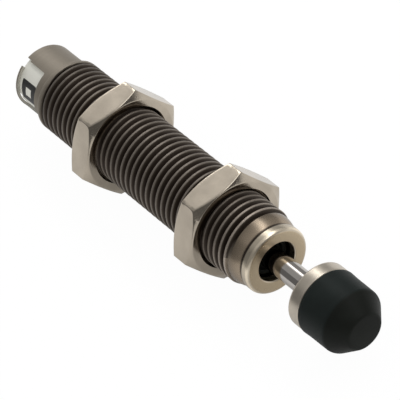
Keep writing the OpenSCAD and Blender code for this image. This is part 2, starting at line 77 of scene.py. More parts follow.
MM = 0.001
STEPS = 120
MERGE_MM = 0.0005
SHARP = 32.0
PLAY = 0.02
STEM_R = 3.0
HEAD_R = 3.8
SPIGOT_R = 1.3
CAD_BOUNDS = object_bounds()


# ---------------------------------------------------------------- sizes from the frame

def span(node):
    """First and last x of a node and its largest radius, in millimetres."""
    low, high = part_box(node)
    return low.x / MM, high.x / MM, high.z / MM


BODY = span("outer_body")
COLLAR = span("stop_collar")
WIPER = span("rod_wiper")
HOLDER = span("bumper_holder")
BUMPER = span("bumper")
DIAL = span("adjuster_dial")
SCREW = span("dial_screw")
ROD = span("piston_rod")
BEARING = span("rod_bearing")
SEAT = span("tube_seat")
NUT_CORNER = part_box("front_nut")[1].y / MM


# ---------------------------------------------------------------- properties

def length_mm(name, description, value):
    """A length, its default given in millimetres."""
    return FloatProperty(
        name=name, description=description, subtype="DISTANCE", default=value * MM)


def angle_deg(name, description, value):
    """An angle, its default given in degrees."""
    return FloatProperty(
        name=name, description=description, subtype="ANGLE", default=math.radians(value))


def paint(name, description, value):
    """A colour."""
    return FloatVectorProperty(
        name=name, description=description, subtype="COLOR", default=value)


class ThreadSettings(bpy.types.PropertyGroup):
    """Form of the mounting thread."""
    pitch: length_mm("Pitch", "Axial distance between crests", 1.4625)
    phase: length_mm("Phase", "Shift of the crests along the axis", 0.29)
    depth: length_mm("Depth", "Depth from crest to root", 0.9)
    start: length_mm("Start", "Station where the thread begins", 7.35)
    end: length_mm("End", "Station where its last groove has ended", 64.0)
    shoulder: length_mm("Shoulder", "Station where full crests end in front", 62.9)
    runout: angle_deg("Run-out", "Angle where the last groove ends", 62)
    fade: angle_deg("Fade", "Angle over which that groove gets shallow", 32)
    land: length_mm("Land", "Length without a groove at the rear end", 1.6)
    clearance: length_mm("Clearance", "Play in the nuts' thread", 0.07)


class SleeveSettings(bpy.types.PropertyGroup):
    """The rear sleeve with its window."""
    wall: length_mm("Wall", "Wall of the sleeve around the dial", 0.5)
    rim: length_mm("Rim", "Width of the rim behind the window", 0.5)
    length: length_mm("Window length", "Length of the window along the axis", 5.4)
    first: angle_deg("Window from", "Angle where the window begins", 105)
    last: angle_deg("Window to", "Angle where the window ends", 206)
    notch_first: angle_deg("Notch from", "Angle where the rim's notch begins", 102)
    notch_last: angle_deg("Notch to", "Angle where the rim's notch ends", 119)
    corner: length_mm("Corner", "Radius of the window's corners", 0.4)


class DialSettings(bpy.types.PropertyGroup):
    """The adjuster's scale."""
    count: IntProperty(name="Numerals", description="Positions on the scale", default=5)
    pitch: angle_deg("Pitch", "Angle between numerals", 60)
    shown: angle_deg("Shown at", "Angle of the numeral 0", 157)
    height: length_mm("Height", "Height of a numeral", 4.1)
    width: length_mm("Width", "Width of a numeral", 4.0)
    stroke: length_mm("Stroke", "Width of an upright stroke", 1.2)
    bar: length_mm("Bar", "Height of an end stroke", 1.2)
    waist: length_mm("Waist", "Height of the middle stroke", 0.7)
    corner: length_mm("Corner", "Radius of a numeral's corners", 0.3)


class FrontSettings(bpy.types.PropertyGroup):
    """Edges of the neck, the collar, the holder and the bumper."""
    neck_step: length_mm("Neck step", "Step from the crests down to the neck", 0.35)
    neck_round: length_mm("Neck round", "Radius of the shoulder", 4.0)
    neck_fall: length_mm("Neck fall", "Fall of the shoulder", 0.8)
    neck_seat: length_mm("Neck seat", "Straight length behind the collar", 0.3)
    collar_round: length_mm("Collar round", "Radius of the collar's front edge", 0.7)
    collar_edge: length_mm("Collar edge", "Radius of the collar's rear edge", 0.3)
    holder_round: length_mm("Holder round", "Radius of the holder's rear edge", 0.5)
    holder_chamfer: length_mm("Holder chamfer", "Chamfer of the holder's front edge", 0.12)
    bumper_edge: length_mm("Bumper edge", "Radius of the base's edge", 0.4)
    bumper_flare: length_mm("Bumper flare", "Flare of the base", 0.08)
    bumper_cone: length_mm("Bumper cone", "Length of the cone", 3.3)
    bumper_tip: length_mm("Bumper tip", "Radius of the flat tip", 3.3)


class FinishSettings(bpy.types.PropertyGroup):
    """Colours of the finishes."""
    plating: paint("Body plating", "Dark plating of the body", (0.165, 0.130, 0.096))
    sleeve: paint("Sleeve", "Plating of the plain rear sleeve", (0.285, 0.250, 0.203))
    # The neck is painted lighter towards the collar from this colour, a painted highlight over rubbed
    # plating.
    neck: paint("Neck", "Plating of the neck, rubbed bright", (0.27, 0.215, 0.158))
    holder: paint("Holder", "Satin nickel of the bumper's holder", (0.595, 0.535, 0.45))
    bare: paint("Bare metal", "Cut walls of the window", (0.62, 0.60, 0.54))
    face: paint("Face", "Turned front face of the collar", (0.50, 0.41, 0.285))
    # The root colour is dark residue and painted shade in the thread, and also the painted shade in
    # the joint behind the collar.
    root: paint("Thread root", "Plating down in the thread", (0.037, 0.025, 0.017))
    crest: paint("Thread crest", "Plating rubbed bright on the crests", (0.24, 0.206, 0.174))
    nickel: paint("Nickel", "Satin nickel of the nuts", (0.475, 0.417, 0.34))
    collar: paint("Warm nickel", "Satin nickel of collar and holder", (0.60, 0.525, 0.415))
    chrome: paint("Chrome", "Hard chrome of the rod", (0.50, 0.47, 0.44))
    rubber: paint("Rubber", "Urethane of the bumper", (0.0078, 0.0092, 0.0074))
    # The side's paler colour is painted light, standing for the light falling on the side.
    side: paint("Bumper side", "Urethane of the bumper's side", (0.0100, 0.0138, 0.0128))
    silver: paint("Silver", "Band of the dial", (0.88, 0.87, 0.79))


class StageSettings(bpy.types.PropertyGroup):
    """Camera and lamps."""
    azimuth: angle_deg("Azimuth", "Camera's angle round the part", 69.87)
    elevation: angle_deg("Elevation", "Camera's angle above the floor", 46.26)
    roll: angle_deg("Roll", "Camera's turn about its own axis", -24.4)
    distance: length_mm("Distance", "From the camera to the point looked at", 454.9)
    target: length_mm("Target", "Point of the axis looked at", 46.76)
    lens: length_mm("Lens", "Focal length on a 36 mm sensor", 244.9)
    key: FloatProperty(
        name="Key", description="Radiance of the strip lamp", default=2.35)


def sizes(settings):
    """A group's values as plain numbers, lengths in millimetres and angles in degrees."""
    plain = SimpleNamespace()
    for key in settings.__annotations__:
        value = getattr(settings, key)
        unit = settings.bl_rna.properties[key].unit
        if unit == "LENGTH":
            value = value / MM
        elif unit == "ROTATION":
            value = math.degrees(value)
        setattr(plain, key, value)
    return plain


# ---------------------------------------------------------------- node groups

def new_group(name, inputs, outputs):
    """An empty shader group with (socket type, name, default) inputs and outputs."""
    group = bpy.data.node_groups.new(name, "ShaderNodeTree")
    for kind, label, default in inputs:
        socket = group.interface.new_socket(label, in_out="INPUT", socket_type=kind)
        if default is not None:
            socket.default_value = default
    for kind, label in outputs:
        group.interface.new_socket(label, in_out="OUTPUT", socket_type=kind)
    enter = group.nodes.new("NodeGroupInput")
    leave = group.nodes.new("NodeGroupOutput")
    return group, enter, leave


def node(tree, kind, links=(), **values):
    """A node with its properties set and its inputs linked or filled from pairs."""
    made = tree.nodes.new(kind)
    for key, value in values.items():
        setattr(made, key, value)
    for socket, value in links:
        if isinstance(value, bpy.types.NodeSocket):
            tree.links.new(value, made.inputs[socket])
        else:
            made.inputs[socket].default_value = value
    return made


def math_node(tree, operation, *values):
    """A Math node's output, with sockets or numbers as its inputs."""
    made = node(tree, "ShaderNodeMath", list(enumerate(values)), operation=operation)
    return made.outputs[0]


def radius_of(tree, vector):
    """(x, distance from the X axis) of a position."""
    parts = node(tree, "ShaderNodeSeparateXYZ", [(0, vector)]).outputs
    squares = math_node(
        tree, "ADD",
        math_node(tree, "MULTIPLY", parts[1], parts[1]),
        math_node(tree, "MULTIPLY", parts[2], parts[2]))
    return parts[0], math_node(tree, "SQRT", squares)


def turning_group():
    """Fine rings left by the lathe: a height and a mask, from a position in mm."""
    group, enter, leave = new_group(
        "Turning marks",
        [("NodeSocketVector", "Position", None), ("NodeSocketFloat", "Density", 6.0)],
        [("NodeSocketFloat", "Height"), ("NodeSocketFloat", "Streak")])
    x, radius = radius_of(group, enter.outputs["Position"])
    rings = node(group, "ShaderNodeCombineXYZ", [(0, x), (1, radius)]).outputs[0]
    fine = node(group, "ShaderNodeTexNoise", [
        ("Vector", rings), ("Scale", enter.outputs["Density"]), ("Detail", 3.0),
        ("Roughness", 0.7)])
    wide = node(group, "ShaderNodeTexNoise", [
        ("Vector", rings), ("Scale", 1.3), ("Detail", 1.0)])
    group.links.new(fine.outputs["Fac"], leave.inputs["Height"])
    group.links.new(wide.outputs["Fac"], leave.inputs["Streak"])
    return group


def grain_group():
    """Fine blotches and specks: a centred mask of the given size in mm."""
    group, enter, leave = new_group(
        "Grain",
        [("NodeSocketVector", "Position", None), ("NodeSocketFloat", "Size", 0.3)],
        [("NodeSocketFloat", "Mask"), ("NodeSocketFloat", "Cloud")])
    density = math_node(group, "DIVIDE", 1.0, enter.outputs["Size"])
    fine = node(group, "ShaderNodeTexNoise", [
        ("Vector", enter.outputs["Position"]), ("Scale", density), ("Detail", 4.0),
        ("Roughness", 0.6)])
    cloud = node(group, "ShaderNodeTexNoise", [
        ("Vector", enter.outputs["Position"]), ("Scale", 0.22), ("Detail", 2.0)])
    group.links.new(fine.outputs["Fac"], leave.inputs["Mask"])
    group.links.new(cloud.outputs["Fac"], leave.inputs["Cloud"])
    return group


def edge_group():
    """Mask of convex edges, where plating is rubbed thin."""
    group, enter, leave = new_group(
        "Edge wear",
        [("NodeSocketFloat", "Width", 0.12), ("NodeSocketFloat", "Amount", 1.0)],
        [("NodeSocketFloat", "Mask")])
    metres = math_node(group, "MULTIPLY", enter.outputs["Width"], MM)
    rounded = node(group, "ShaderNodeBevel", [("Radius", metres)], samples=4)
    surface = node(group, "ShaderNodeNewGeometry")
    agree = node(group, "ShaderNodeVectorMath", [
        (0, rounded.outputs["Normal"]), (1, surface.outputs["Normal"])], operation="DOT_PRODUCT")
    mask = node(group, "ShaderNodeMapRange", [
        ("Value", agree.outputs["Value"]), ("From Min", 0.995), ("From Max", 0.90),
        ("To Min", 0.0), ("To Max", 1.0)])
    worn = math_node(group, "MULTIPLY", mask.outputs[0], enter.outputs["Amount"])
    group.links.new(worn, leave.inputs["Mask"])
    return group


GROUPS = {}


def use_group(tree, name, **inputs):
    """A group node with its inputs, its tree built on first use."""
    makers = {"turning": turning_group, "grain": grain_group, "edge": edge_group}
    if name not in GROUPS:
        GROUPS[name] = makers[name]()
    return node(tree, "ShaderNodeGroup", inputs.items(), node_tree=GROUPS[name])


# ---------------------------------------------------------------- materials

def plain_material(name, **constants):
    """A material and its tree and Principled shader, with inputs of the shader set."""
    material = bpy.data.materials.new(name)
    material.use_nodes = True
    shader = material.node_tree.nodes["Principled BSDF"]
    for label, value in constants.items():
        shader.inputs[label.replace("_", " ")].default_value = value
    return material, material.node_tree, shader


def position_mm(tree):
    """Object coordinates in millimetres."""
    place = node(tree, "ShaderNodeTexCoord").outputs["Object"]
    scaled = node(tree, "ShaderNodeMapping", [("Vector", place), ("Scale", (1 / MM,) * 3)])
    return scaled.outputs[0]


def start_material(name, **constants):
    """A plain material, followed by the position in mm as a socket."""
    made = plain_material(name, **constants)
    return (*made, position_mm(made[1]))


def colour(value, gain=1.0):
    """A colour property as RGBA, brighter by a gain."""
    return tuple(min(1.0, c * gain) for c in value) + (1.0,)


def mix_colour(tree, factor, first, second):
    """A mix of two colours, sockets or values."""
    made = node(tree, "ShaderNodeMix", [(0, factor), (6, first), (7, second)], data_type="RGBA")
    return made.outputs[2]


def shades(tree, factor, tint, low, high):
    """A mix of two shades of a colour, given as gains."""
    return mix_colour(tree, factor, colour(tint, low), colour(tint, high))


def ramp(tree, value, low, high, to_low=0.0, to_high=1.0):
    """A value mapped from one range to another and held there."""
    made = node(tree, "ShaderNodeMapRange", [
        ("Value", value), ("From Min", low), ("From Max", high),
        ("To Min", to_low), ("To Max", to_high)])
    return made.outputs[0]


def dress(tree, shader, tint, height, relief, rough=None):
    """Links a shader's colour, a bump of relief mm and, if it varies, its roughness."""
    made = node(tree, "ShaderNodeBump", [("Height", height), ("Distance", relief * MM)])
    tree.links.new(made.outputs[0], shader.inputs["Normal"])
    tree.links.new(tint, shader.inputs["Base Color"])
    if rough:
        tree.links.new(rough, shader.inputs["Roughness"])


def body_material(finish, thread, sleeve_r):
    """Dark plating: black in the thread's root from dark residue and painted shade, rubbed on its
    crests with a painted highlight on the front ones, satin on the sleeve; the neck gets a painted
    highlight towards the collar and painted shade in the joint.
    """
    material, tree, shader, position = start_material(
        "dark_plating", Metallic=0.75, Coat_Weight=0.10, Coat_Roughness=0.35)
    turning = use_group(tree, "turning", Position=position, Density=7.0)
    grain = use_group(tree, "grain", Position=position, Size=0.25)
    x, radius = radius_of(tree, position)
    depth = math_node(tree, "SUBTRACT", BODY[2], radius)
    first_x = thread.start + thread.land
    cut = ramp(tree, x, first_x - 0.1, first_x + 0.1)
    front = past_last_groove(tree, position, x, thread)
    inside = math_node(tree, "MULTIPLY", cut, ramp(tree, front, 1.0, 0.0))
    down = ramp(tree, depth, 0.05, 0.4)
    rubbed = ramp(tree, depth, 0.18, 0.02)
    # Painted highlight over rubbed plating: the neck grows lighter towards the collar.
    wear = ramp(tree, x, thread.end - 0.55, BODY[1] - 0.6)
    neck = shades(tree, wear, finish.neck, 0.66, 1.35)
    plain = shades(tree, turning.outputs["Streak"], finish.sleeve, 0.88, 1.12)
    # Painted shade: the neck darkens to the root colour in the joint behind the collar.
    joint = ramp(tree, x, BODY[1] - 0.50, BODY[1] - 0.30)
    joint_shade = mix_colour(tree, joint, neck, colour(finish.root))
    sawn = mix_colour(
        tree, ramp(tree, radius, sleeve_r - 0.03, sleeve_r - 0.06), plain, colour(finish.bare))
    smooth = mix_colour(tree, front, sawn, joint_shade)
    # The flanks darken with depth to the root colour: dark residue and painted shade in the thread.
    flank_residue_and_shade = mix_colour(tree, down, colour(finish.plating, 0.45), colour(finish.root))
    speckled = math_node(tree, "MULTIPLY", rubbed, ramp(tree, grain.outputs["Mask"], 0.25, 0.6, 0.5))
    # The crests are darker towards the rear end, and the front crests get a painted highlight.
    crest = shades(tree, ramp(tree, x, 11.0, 17.0), finish.crest, 0.62, 1.0)
    crest = mix_colour(tree, ramp(tree, x, 58.0, 62.5), crest, colour(finish.crest, 1.9))
    speckled = math_node(tree, "MULTIPLY", speckled, cut)
    whole = mix_colour(tree, speckled, mix_colour(tree, inside, smooth, flank_residue_and_shade), crest)
    satin = ramp(tree, front, 0.0, 1.0, 0.56, 0.27)
    rough = math_node(
        tree, "ADD", ramp(tree, grain.outputs["Mask"], 0.3, 0.7, -0.04, 0.06),
        ramp(tree, inside, 0.0, 1.0, satin, 0.50))
    dress(tree, shader, whole, turning.outputs["Height"], 0.006, rough)
    return material


def past_last_groove(tree, position, x, thread):
    """Mask of what lies ahead of the thread's last groove, or where it has run out."""
    parts = node(tree, "ShaderNodeSeparateXYZ", [(0, position)]).outputs
    turn = math_node(tree, "ARCTAN2", math_node(tree, "MULTIPLY", parts[1], -1.0), parts[2])
    past = math_node(tree, "SUBTRACT", turn, math.radians(thread.runout))
    past = math_node(tree, "WRAP", past, 2 * math.pi, 0.0)
    groove = math_node(
        tree, "MULTIPLY_ADD", past, thread.pitch / (2 * math.pi), last_groove(thread))
    ahead = math_node(tree, "SUBTRACT", x, groove)
    filled = ramp(tree, past, 2 * math.pi - math.radians(thread.fade), 2 * math.pi)
    filled = math_node(tree, "MULTIPLY", filled, ramp(tree, ahead, -0.3, -0.1))
    return math_node(tree, "MAXIMUM", ramp(tree, ahead, 0.34, 0.42), filled)


def nickel_material(tint, name, roughness, density):
    """Satin nickel, with turning rings, or with a tumbled grain where density is 0."""
    material, tree, shader, position = start_material(name, Metallic=1.0)
    grain = use_group(tree, "grain", Position=position, Size=0.35 if density else 0.22)
    edge = use_group(tree, "edge", Width=0.12, Amount=0.8 if density else 0.3)
    streak, height = grain.outputs["Cloud"], grain.outputs["Mask"]
    if density:
        turning = use_group(tree, "turning", Position=position, Density=density)
        streak, height = turning.outputs["Streak"], turning.outputs["Height"]
    clouded = shades(tree, ramp(tree, grain.outputs["Cloud"], 0.35, 0.65), tint, 0.88, 1.06)
    worn = mix_colour(tree, edge.outputs["Mask"], clouded, colour(tint, 1.4))
    rough = math_node(
        tree, "ADD", ramp(tree, grain.outputs["Mask"], 0.3, 0.7, -0.04, 0.06),
        ramp(tree, streak, 0.3, 0.7, roughness - 0.03, roughness + 0.03))
    dress(tree, shader, worn, height, 0.004 if density else 0.008, rough)
    return material


def collar_material(finish, x0, x1):
    """Nickel with painted shade in the joint behind the collar, a rim painted brighter as a highlight
    over rubbed nickel, and a turned face.
    """
    material = nickel_material(finish.collar, "collar_nickel", 0.31, 6.0)
    tree = material.node_tree
    shader = tree.nodes["Principled BSDF"]
    plain = shader.inputs["Base Color"].links[0].from_socket
    position = position_mm(tree)
    grain = use_group(tree, "grain", Position=position, Size=0.6)
    x = radius_of(tree, position)[0]
    # Painted highlight over rubbed nickel: the rim of the front round is painted brighter.
    rim = math_node(
        tree, "MULTIPLY", ramp(tree, x, x1 - 0.68, x1 - 0.50), ramp(tree, x, x1 - 0.12, x1 - 0.24))
    rubbed = math_node(tree, "MULTIPLY", rim, ramp(tree, grain.outputs["Cloud"], 0.35, 0.6, 0.45, 1.0))
    bright = mix_colour(tree, rubbed, plain, colour(finish.collar, 1.6))
    faced = mix_colour(tree, ramp(tree, x, x1 - 0.06, x1 - 0.02), bright, colour(finish.face))
    # Painted shade: the collar's rear edge darkens in the joint with the neck.
    joint_shade = mix_colour(tree, ramp(tree, x, x0 + 0.46, x0 + 0.28), faced, colour(finish.root, 0.6))
    tree.links.new(joint_shade, shader.inputs["Base Color"])
    return material


def chrome_material(finish):
    """Ground hard chrome with the faintest rings."""
    material, tree, shader, position = start_material("hard_chrome", Metallic=1.0)
    turning = use_group(tree, "turning", Position=position, Density=14.0)
    tint = shades(tree, turning.outputs["Streak"], finish.chrome, 0.94, 1.04)
    rough = ramp(tree, turning.outputs["Height"], 0.3, 0.7, 0.06, 0.10)
    dress(tree, shader, tint, turning.outputs["Height"], 0.0015, rough)
    return material


def rubber_material(finish, name, roughness=0.48, shoulder_x=None):
    """Moulded black urethane: fine grain, a dusty bloom, and the side painted paler than the cone as
    painted light.
    """
    material, tree, shader, position = start_material(name, Specular_IOR_Level=0.11)
    grain = use_group(tree, "grain", Position=position, Size=0.12)
    dust = ramp(tree, grain.outputs["Cloud"], 0.42, 0.7, 0.0, 0.5)
    bloom = shades(tree, dust, finish.rubber, 1.0, 1.9)
    if shoulder_x:
        # Painted light: the side is paler than the cone.
        side = shades(tree, dust, finish.side, 1.0, 1.6)
        x = radius_of(tree, position)[0]
        bloom = mix_colour(tree, ramp(tree, x, shoulder_x + 0.15, shoulder_x - 0.15), bloom, side)
    rough = ramp(tree, grain.outputs["Mask"], 0.3, 0.7, roughness - 0.05, roughness + 0.08)
    dress(tree, shader, bloom, grain.outputs["Mask"], 0.012, rough)
    return material


def silver_material(finish):
    """Satin silver band of the dial."""
    material, tree, shader, position = start_material("silver_band", Metallic=0.25)
    grain = use_group(tree, "grain", Position=position, Size=0.2)
    tint = shades(tree, grain.outputs["Cloud"], finish.silver, 0.92, 1.08)
    rough = ramp(tree, grain.outputs["Mask"], 0.3, 0.7, 0.45, 0.55)
    dress(tree, shader, tint, grain.outputs["Mask"], 0.003, rough)
    return material


def print_material():
    """Black printing ink of the numerals."""
    material, tree, shader, position = start_material(
        "black_print", Specular_IOR_Level=0.4, Roughness=0.45)
    grain = use_group(tree, "grain", Position=position, Size=0.15)
    tint = mix_colour(tree, grain.outputs["Mask"], (0.006, 0.006, 0.006, 1), (0.02, 0.02, 0.02, 1))
    dress(tree, shader, tint, grain.outputs["Mask"], 0.004)
    return material


def metal_material(name, tint, roughness):
    """Turned metal of a piece inside the body."""
    material, tree, shader, position = start_material(name, Metallic=1.0)
    turning = use_group(tree, "turning", Position=position, Density=5.0)
    shade = shades(tree, turning.outputs["Streak"], tint, 0.85, 1.1)
    rough = ramp(tree, turning.outputs["Height"], 0.3, 0.7, roughness - 0.05, roughness + 0.08)
    dress(tree, shader, shade, turning.outputs["Height"], 0.005, rough)
    return material


def foam_material():
    """Closed-cell foam, seen only when the part is opened."""
    material, tree, shader, position = start_material("cell_foam", Roughness=0.9)
    cells = node(tree, "ShaderNodeTexVoronoi", [("Vector", position), ("Scale", 4.0)])
    tint = mix_colour(
        tree, cells.outputs["Distance"], (0.10, 0.11, 0.13, 1), (0.04, 0.045, 0.055, 1))
    dress(tree, shader, tint, cells.outputs["Distance"], 0.08)
    return material


# ---------------------------------------------------------------- mesh helpers

def arc(x, r, radius, first, last, count=8):
    """Profile points of an arc about (x, r), angles in degrees."""
    angles = [math.radians(first + (last - first) * i / count) for i in range(count + 1)]
    return [(x + radius * math.cos(a), r + radius * math.sin(a)) for a in angles]


def spin(bm, profile, advance=0.0, closed=False):
    """Turns a profile about X, moving it by advance mm over the whole turn."""
    points = [bm.verts.new((x * MM, 0.0, r * MM)) for x, r in profile]
    pairs = list(zip(points, points[1:]))
    if closed:
        pairs.append((points[-1], points[0]))
    edges = [bm.edges.new(pair) for pair in pairs]
    bmesh.ops.spin(
        bm, geom=points + edges, cent=(0, 0, 0), axis=(1, 0, 0),
        dvec=(advance * MM / STEPS, 0, 0), angle=2 * math.pi, steps=STEPS,
        use_merge=not advance, use_duplicate=False)


def weld(bm):
    """Merges doubles, drops flat faces and turns every face outwards."""
    bmesh.ops.remove_doubles(bm, verts=bm.verts, dist=MERGE_MM * MM)
    bmesh.ops.dissolve_degenerate(bm, edges=bm.edges, dist=MERGE_MM * MM * 0.1)
    loose = [v for v in bm.verts if not v.link_faces]
    bmesh.ops.delete(bm, geom=loose, context="VERTS")
    bmesh.ops.recalc_face_normals(bm, faces=bm.faces)


def bevel(bm, geom, offset, segments, affect="EDGES"):
    """Rounds edges or corners by an offset in the bmesh's own unit."""
    bmesh.ops.bevel(
        bm, geom=geom, offset=offset, offset_type="OFFSET", segments=segments, profile=0.5,
        affect=affect, clamp_overlap=True, material=-1)


def soften(bm, width, angle=24.0, segments=2, keep=None):
    """Rounds the edges sharper than an angle, or those of them that keep accepts."""
    edges = [
        e for e in bm.edges
        if len(e.link_faces) == 2 and e.calc_face_angle(0.0) > math.radians(angle)
        and (keep is None or keep(e))
    ]
    bevel(bm, edges, width * MM, segments)


def linked_object(bm, name):
    """Writes a bmesh to an object in the scene and frees it."""
    mesh = bpy.data.meshes.new(name)
    bm.to_mesh(mesh)
    bm.free()
    made = bpy.data.objects.new(name, mesh)
    bpy.context.scene.collection.objects.link(made)
    return made


def as_piece(bm, name, body, replaced, material, sharp=SHARP):
    """Writes a bmesh to an object that rides a body and stands for CAD nodes."""
    piece = linked_object(bm, name)
    piece.data.shade_smooth()
    piece.data.set_sharp_from_angle(angle=math.radians(sharp))
    piece.data.materials.append(material)
    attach(piece, body)
    if replaced:
        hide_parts(*replaced)
    return piece


def even_normals(piece):
    """Keeps flat and straight faces true next to their softened edges."""
    modifier = piece.modifiers.new("even_normals", "WEIGHTED_NORMAL")
    modifier.mode = "FACE_AREA"
    modifier.weight = 50
    modifier.keep_sharp = True


def turned_piece(profile, name, body, replaced, material, width=0.05, angle=24.0):
    """A piece turned from a closed or pole-to-pole profile, its edges softened."""
    bm = bmesh.new()
    on_axis = profile[0][1] == 0 and profile[-1][1] == 0
    spin(bm, profile, closed=not on_axis)
    weld(bm)
    if width:
        soften(bm, width, angle)
    piece = as_piece(bm, name, body, replaced, material)
    even_normals(piece)
    return piece


# ---------------------------------------------------------------- the thread

def last_groove(thread):
    """Where the last groove is on the turn that begins at its run-out, mm."""
    turns = math.floor((thread.end - thread.phase) / thread.pitch) - 1
    return (turns + thread.runout / 360) * thread.pitch + thread.phase


def thread_profile(thread, crest_r, start, end):
    """Crests and roots of the thread from before start to past end, the last turns finer."""
    root_r = crest_r - thread.depth
    shape = [
        (0.0, root_r), (0.06, root_r + 0.02), (0.10, root_r + 0.09), (0.345, crest_r - 0.10),
        (0.37, crest_r - 0.045), (0.40, crest_r - 0.012), (0.44, crest_r),
        (0.56, crest_r), (0.60, crest_r - 0.012), (0.63, crest_r - 0.045),
        (0.655, crest_r - 0.10), (0.90, root_r + 0.09), (0.94, root_r + 0.02),
    ]
    fine = []
    for (share, r), (next_share, next_r) in zip(shape, shape[1:] + [(1.0, root_r)]):
        parts = max(1, round((next_share - share) / 0.06))
        fine += [
            (share + (next_share - share) * i / parts, r + (next_r - r) * i / parts)
            for i in range(parts)]
    fine_turns = 4
    first = math.floor(start / thread.pitch) - 2
    last = math.ceil(end / thread.pitch) + 1
    return [
        ((turn + share) * thread.pitch + thread.phase, r)
        for turn in range(first, last)
        for share, r in (fine if turn >= last - fine_turns else shape)
    ]


def clamp_ends(bm, start, end, limit):
    """Draws a helical surface in between two planes and to the radius limit(x, r, turn)."""
    for v in bm.verts:
        x = min(max(v.co.x / MM, start), end)
        r = math.hypot(v.co.y, v.co.z) / MM
        wanted = limit(x, r, math.degrees(math.atan2(-v.co.y, v.co.z)))
        v.co = Vector((x * MM, v.co.y * wanted / r, v.co.z * wanted / r))


def helical_band(thread, crest_r, start, end, limit):
    """A thread's surface between two planes, as a bmesh."""
    bm = bmesh.new()
    spin(bm, thread_profile(thread, crest_r, start, end), advance=thread.pitch)
    clamp_ends(bm, start, end, limit)
    return bm


def join_bmesh(bm, other):
    """Adds another bmesh's faces and frees it."""
    carrier = bpy.data.meshes.new("carrier")
    other.to_mesh(carrier)
    other.free()
    bm.from_mesh(carrier)
    bpy.data.meshes.remove(carrier)


# ---------------------------------------------------------------- operators

class ABSORBER_OT_body_shell(bpy.types.Operator):
    """Threaded body with its window, bores and neck"""
    bl_idname = "absorber.body_shell"
    bl_label = "Body"

    def execute(self, context):
        scene = context.scene
        thread, sleeve = sizes(scene.absorber_thread), sizes(scene.absorber_sleeve)
        front = sizes(scene.absorber_front)
        x1, crest_r = BODY[1], BODY[2]
        pocket_r = DIAL[2] + 0.1
        sleeve_r = pocket_r + sleeve.wall
        neck_r = crest_r - front.neck_step
        chamber_r = BEARING[2] + PLAY
        pocket_x = DIAL[1] + 0.2
        spindle_r = 1.54
        turn = math.acos(1 - front.neck_fall / front.neck_round)
        shoulder_x = x1 - front.neck_seat - front.neck_round * math.sin(turn)
        seat_r = neck_r - front.neck_fall
        rear_edge = 0.25
        land_slope, end_slope = 4.0, 1.4

        def neck_at(x):
            along = max(0.0, x - shoulder_x)
            return neck_r - front.neck_round + math.sqrt(front.neck_round ** 2 - along ** 2)

        shoulder = arc(
            shoulder_x, neck_r - front.neck_round, front.neck_round, 90, 90 - math.degrees(turn))
        outside = (
            [(thread.end, neck_at(thread.end))]
            + [(x, r) for x, r in shoulder if x > thread.end + 0.05]
            + [(x1, seat_r)]
            + [(x1, chamber_r), (SEAT[0], chamber_r), (SEAT[0], spindle_r)]
            + [(pocket_x, spindle_r), (pocket_x, pocket_r), (0.0, pocket_r)]
            + arc(rear_edge, sleeve_r - rear_edge, rear_edge, 180, 90)
            + [(thread.start, sleeve_r)]
        )
        bm = bmesh.new()
        spin(bm, outside)

        def between_cones(x, r, turn):
            if x > thread.end - 0.001:
                return neck_at(thread.end)
            past = (turn - thread.runout) % 360
            ahead = x - last_groove(thread) - thread.pitch * past / 360
            if ahead > thread.pitch / 2:
                r = crest_r
            if ahead > -thread.pitch / 2:
                filled = max(0.0, 1 - (360 - past) / thread.fade)
                r = max(r, crest_r - thread.depth * (1 - filled))
            behind = x - thread.start
            rise = min(crest_r, sleeve_r + behind)
            fall = max(neck_at(x), crest_r - end_slope * max(0.0, x - thread.shoulder))
            land = rise - land_slope * max(0.0, behind - thread.land)
            return max(land, min(r, rise, fall))

        join_bmesh(bm, helical_band(thread, crest_r, thread.start, thread.end, between_cones))
        weld(bm)
        shell = as_piece(
            bm, "body_shell", "body", ["outer_body"],
            body_material(scene.absorber_finish, thread, sleeve_r))
        cut_window(shell, sleeve, pocket_r, sleeve_r)
        even_normals(shell)
        return {"FINISHED"}


def cut_window(piece, sleeve, pocket_r, sleeve_r):
    """Cuts the window, and the notch through the rim behind it, out of the sleeve."""
    depth = (pocket_r - 0.15, sleeve_r + 0.6)
    window = sector_cutter(
        (sleeve.rim, sleeve.rim + sleeve.length), depth, (sleeve.first, sleeve.last), sleeve.corner)
    notch = sector_cutter(
        (-1.0, sleeve.rim + 2 * sleeve.corner), depth,
        (sleeve.notch_first, sleeve.notch_last), 0.0)
    cut(piece, window)
    cut(piece, notch)


def sector_cutter(along, radii, angles, corner):
    """A block bent about X, between two stations, two radii and two angles."""
    bm = bmesh.new()
    first, last = math.radians(angles[0]), math.radians(angles[1])
    corners = [
        (along[0], radii[0]), (along[1], radii[0]), (along[1], radii[1]), (along[0], radii[1])]
    face = bm.faces.new([
        bm.verts.new((x * MM, r * MM * math.cos(first), r * MM * math.sin(first)))
        for x, r in corners])
    steps = max(1, round((angles[1] - angles[0]) / 15))
    bmesh.ops.spin(
        bm, geom=[face, *face.edges, *face.verts], cent=(0, 0, 0), axis=(1, 0, 0),
        angle=last - first, steps=steps, use_duplicate=False)
    bmesh.ops.remove_doubles(bm, verts=bm.verts, dist=1e-8)
    bmesh.ops.recalc_face_normals(bm, faces=bm.faces)
    if corner:
        ends = [
            e for e in bm.edges
            if abs(e.verts[0].co.x - e.verts[1].co.x) < 1e-7
            and abs(e.verts[0].co.yz.length - e.verts[1].co.yz.length) > 1e-4
            and e.calc_face_angle(0.0) > 1.2
        ]
        bevel(bm, ends, corner * MM, 5)
    return bm


